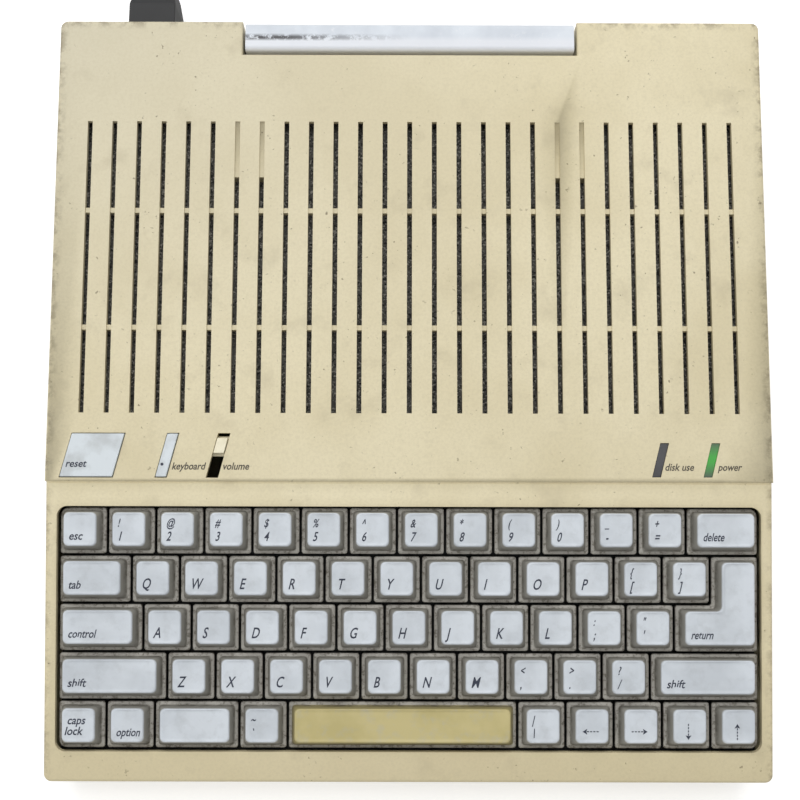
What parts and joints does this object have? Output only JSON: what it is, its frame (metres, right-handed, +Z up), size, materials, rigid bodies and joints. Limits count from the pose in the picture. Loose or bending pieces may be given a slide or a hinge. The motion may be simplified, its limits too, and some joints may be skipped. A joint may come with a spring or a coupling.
{
  "type": "vintage home computer",
  "caption": "Portable one-piece home computer: wedge case with built-in keyboard, side disk slot, rear sockets, swinging carry handle and a mains lead with its coil and plug.",
  "frame": {"origin": "centre of the underside of the feet, below the middle of the case", "axes": "+X to the right and +Y to the rear for a person at the keys, +Z up"},
  "size_m": [0.3571, 0.5828, 0.057],
  "materials": {
    "case": "fine texture, yellowed",
    "handle": "worn",
    "steel": "plain",
    "rubber": "matt",
    "keycap": "fine texture, worn",
    "space_bar": "yellowed",
    "switch_body": "moulded",
    "circuit_board": "lacquered board",
    "power_case": "sheet metal box",
    "drive_metal": "cast chassis",
    "control": "moulded",
    "speaker": "pressed basket",
    "socket_black": "moulded",
    "socket_shell": "plated shell",
    "jack_metal": "plated",
    "knob": "moulded",
    "lens_dark": "clear tinted, unlit",
    "lens_green": "clear tinted, lit",
    "cord": "moulded"
  },
  "bodies": {
    "chassis": {"board_shield": "steel", "bottom_case": "case", "case_screws": "steel", "cord_connector": "cord", "disk_drive": "drive_metal", "disk_socket": "socket_shell", "disk_use_lens": "lens_dark", "game_socket": "socket_shell", "handle_pins": "steel", "key_switches": "switch_body", "keyboard_board": "circuit_board", "keyboard_plate": "steel", "loudspeaker": "speaker", "main_board": "circuit_board", "mains_plug": "cord", "power_cord": "cord", "power_cord_coil": "cord", "power_inlet": "socket_black", "power_lens": "lens_green", "power_supply": "power_case", "rubber_feet": "rubber", "serial_sockets": "socket_black", "switch_housing": "socket_black", "top_case": "case", "video_jack": "jack_metal", "video_socket": "socket_shell"},
    "key_arrow_down": {"key_arrow_down": "keycap"},
    "key_arrow_left": {"key_arrow_left": "keycap"},
    "key_arrow_right": {"key_arrow_right": "keycap"},
    "key_arrow_up": {"key_arrow_up": "keycap"},
    "key_backslash": {"key_backslash": "keycap"},
    "key_caps_lock": {"key_caps_lock": "keycap"},
    "key_column_1": {"key_column_1": "keycap"},
    "key_column_10": {"key_column_10": "keycap"},
    "key_column_11": {"key_column_11": "keycap"},
    "key_column_2": {"key_column_2": "keycap"},
    "key_column_3": {"key_column_3": "keycap"},
    "key_column_4": {"key_column_4": "keycap"},
    "key_column_5": {"key_column_5": "keycap"},
    "key_column_6": {"key_column_6": "keycap"},
    "key_column_7": {"key_column_7": "keycap"},
    "key_column_8": {"key_column_8": "keycap"},
    "key_column_9": {"key_column_9": "keycap"},
    "key_command": {"key_command": "keycap"},
    "key_control": {"key_control": "keycap"},
    "key_delete": {"key_delete": "keycap"},
    "key_escape": {"key_escape": "keycap"},
    "key_option": {"key_option": "keycap"},
    "key_return": {"key_return": "keycap"},
    "key_shift_left": {"key_shift_left": "keycap"},
    "key_shift_right": {"key_shift_right": "keycap"},
    "key_space_bar": {"key_space_bar": "space_bar"},
    "key_tab": {"key_tab": "keycap"},
    "key_tilde": {"key_tilde": "keycap"},
    "handle": {"carry_handle": "handle"},
    "reset": {"reset_button": "control"},
    "layout_switch": {"keyboard_switch": "control"},
    "volume": {"volume_knob": "knob"},
    "rocker": {"power_rocker": "socket_black"},
    "eject": {"eject_button": "control"}
  },
  "joints": [
    {"name": "key_arrow_down_travel", "type": "slide", "parent": "chassis", "child": "key_arrow_down", "axis": [0, 0.1525, -0.9883], "range_m": [0, 0.003], "stiffness_N_per_m": 150, "springref_m": -0.002},
    {"name": "key_arrow_left_travel", "type": "slide", "parent": "chassis", "child": "key_arrow_left", "axis": [0, 0.1525, -0.9883], "range_m": [0, 0.003], "stiffness_N_per_m": 150, "springref_m": -0.002},
    {"name": "key_arrow_right_travel", "type": "slide", "parent": "chassis", "child": "key_arrow_right", "axis": [0, 0.1525, -0.9883], "range_m": [0, 0.003], "stiffness_N_per_m": 150, "springref_m": -0.002},
    {"name": "key_arrow_up_travel", "type": "slide", "parent": "chassis", "child": "key_arrow_up", "axis": [0, 0.1525, -0.9883], "range_m": [0, 0.003], "stiffness_N_per_m": 150, "springref_m": -0.002},
    {"name": "key_backslash_travel", "type": "slide", "parent": "chassis", "child": "key_backslash", "axis": [0, 0.1525, -0.9883], "range_m": [0, 0.003], "stiffness_N_per_m": 150, "springref_m": -0.002},
    {"name": "key_caps_lock_travel", "type": "slide", "parent": "chassis", "child": "key_caps_lock", "axis": [0, 0.1525, -0.9883], "range_m": [0, 0.003], "stiffness_N_per_m": 150, "springref_m": -0.002},
    {"name": "key_column_1_travel", "type": "slide", "parent": "chassis", "child": "key_column_1", "axis": [0, 0.1525, -0.9883], "range_m": [0, 0.003], "stiffness_N_per_m": 600, "springref_m": -0.002},
    {"name": "key_column_10_travel", "type": "slide", "parent": "chassis", "child": "key_column_10", "axis": [0, 0.1525, -0.9883], "range_m": [0, 0.003], "stiffness_N_per_m": 600, "springref_m": -0.002},
    {"name": "key_column_11_travel", "type": "slide", "parent": "chassis", "child": "key_column_11", "axis": [0, 0.1525, -0.9883], "range_m": [0, 0.003], "stiffness_N_per_m": 750, "springref_m": -0.002},
    {"name": "key_column_2_travel", "type": "slide", "parent": "chassis", "child": "key_column_2", "axis": [0, 0.1525, -0.9883], "range_m": [0, 0.003], "stiffness_N_per_m": 600, "springref_m": -0.002},
    {"name": "key_column_3_travel", "type": "slide", "parent": "chassis", "child": "key_column_3", "axis": [0, 0.1525, -0.9883], "range_m": [0, 0.003], "stiffness_N_per_m": 600, "springref_m": -0.002},
    {"name": "key_column_4_travel", "type": "slide", "parent": "chassis", "child": "key_column_4", "axis": [0, 0.1525, -0.9883], "range_m": [0, 0.003], "stiffness_N_per_m": 600, "springref_m": -0.002},
    {"name": "key_column_5_travel", "type": "slide", "parent": "chassis", "child": "key_column_5", "axis": [0, 0.1525, -0.9883], "range_m": [0, 0.003], "stiffness_N_per_m": 600, "springref_m": -0.002},
    {"name": "key_column_6_travel", "type": "slide", "parent": "chassis", "child": "key_column_6", "axis": [0, 0.1525, -0.9883], "range_m": [0, 0.003], "stiffness_N_per_m": 600, "springref_m": -0.002},
    {"name": "key_column_7_travel", "type": "slide", "parent": "chassis", "child": "key_column_7", "axis": [0, 0.1525, -0.9883], "range_m": [0, 0.003], "stiffness_N_per_m": 600, "springref_m": -0.002},
    {"name": "key_column_8_travel", "type": "slide", "parent": "chassis", "child": "key_column_8", "axis": [0, 0.1525, -0.9883], "range_m": [0, 0.003], "stiffness_N_per_m": 600, "springref_m": -0.002},
    {"name": "key_column_9_travel", "type": "slide", "parent": "chassis", "child": "key_column_9", "axis": [0, 0.1525, -0.9883], "range_m": [0, 0.003], "stiffness_N_per_m": 600, "springref_m": -0.002},
    {"name": "key_command_travel", "type": "slide", "parent": "chassis", "child": "key_command", "axis": [0, 0.1525, -0.9883], "range_m": [0, 0.003], "stiffness_N_per_m": 150, "springref_m": -0.002},
    {"name": "key_control_travel", "type": "slide", "parent": "chassis", "child": "key_control", "axis": [0, 0.1525, -0.9883], "range_m": [0, 0.003], "stiffness_N_per_m": 150, "springref_m": -0.002},
    {"name": "key_delete_travel", "type": "slide", "parent": "chassis", "child": "key_delete", "axis": [0, 0.1525, -0.9883], "range_m": [0, 0.003], "stiffness_N_per_m": 150, "springref_m": -0.002},
    {"name": "key_escape_travel", "type": "slide", "parent": "chassis", "child": "key_escape", "axis": [0, 0.1525, -0.9883], "range_m": [0, 0.003], "stiffness_N_per_m": 150, "springref_m": -0.002},
    {"name": "key_option_travel", "type": "slide", "parent": "chassis", "child": "key_option", "axis": [0, 0.1525, -0.9883], "range_m": [0, 0.003], "stiffness_N_per_m": 150, "springref_m": -0.002},
    {"name": "key_return_travel", "type": "slide", "parent": "chassis", "child": "key_return", "axis": [0, 0.1525, -0.9883], "range_m": [0, 0.003], "stiffness_N_per_m": 150, "springref_m": -0.002},
    {"name": "key_shift_left_travel", "type": "slide", "parent": "chassis", "child": "key_shift_left", "axis": [0, 0.1525, -0.9883], "range_m": [0, 0.003], "stiffness_N_per_m": 150, "springref_m": -0.002},
    {"name": "key_shift_right_travel", "type": "slide", "parent": "chassis", "child": "key_shift_right", "axis": [0, 0.1525, -0.9883], "range_m": [0, 0.003], "stiffness_N_per_m": 150, "springref_m": -0.002},
    {"name": "key_space_bar_travel", "type": "slide", "parent": "chassis", "child": "key_space_bar", "axis": [0, 0.1525, -0.9883], "range_m": [0, 0.003], "stiffness_N_per_m": 150, "springref_m": -0.002},
    {"name": "key_tab_travel", "type": "slide", "parent": "chassis", "child": "key_tab", "axis": [0, 0.1525, -0.9883], "range_m": [0, 0.003], "stiffness_N_per_m": 150, "springref_m": -0.002},
    {"name": "key_tilde_travel", "type": "slide", "parent": "chassis", "child": "key_tilde", "axis": [0, 0.1525, -0.9883], "range_m": [0, 0.003], "stiffness_N_per_m": 150, "springref_m": -0.002},
    {"name": "handle_swing", "type": "hinge", "parent": "chassis", "child": "handle", "pos_m": [0, 0.14631, 0.014], "axis": [-1, 0, 0], "range_deg": [0, 180]},
    {"name": "reset_press", "type": "slide", "parent": "chassis", "child": "reset", "axis": [0, 0.0523, -0.9986], "range_m": [0, 0.0015], "stiffness_N_per_m": 300, "springref_m": -0.002},
    {"name": "layout_switch_press", "type": "slide", "parent": "chassis", "child": "layout_switch", "axis": [0, 0.0523, -0.9986], "range_m": [0, 0.0015], "stiffness_N_per_m": 300, "springref_m": -0.002},
    {"name": "volume_slide", "type": "slide", "parent": "chassis", "child": "volume", "axis": [0.2504, 0.9668, 0.0507], "range_m": [-0.009, 0.0015]},
    {"name": "power_rock", "type": "hinge", "parent": "chassis", "child": "rocker", "pos_m": [-0.0816, 0.14961, 0.028], "axis": [1, 0, 0], "range_deg": [-18, 0]},
    {"name": "eject_press", "type": "slide", "parent": "chassis", "child": "eject", "axis": [-1, 0, 0], "range_m": [0, 0.0025], "stiffness_N_per_m": 300, "springref_m": -0.002}
  ]
}
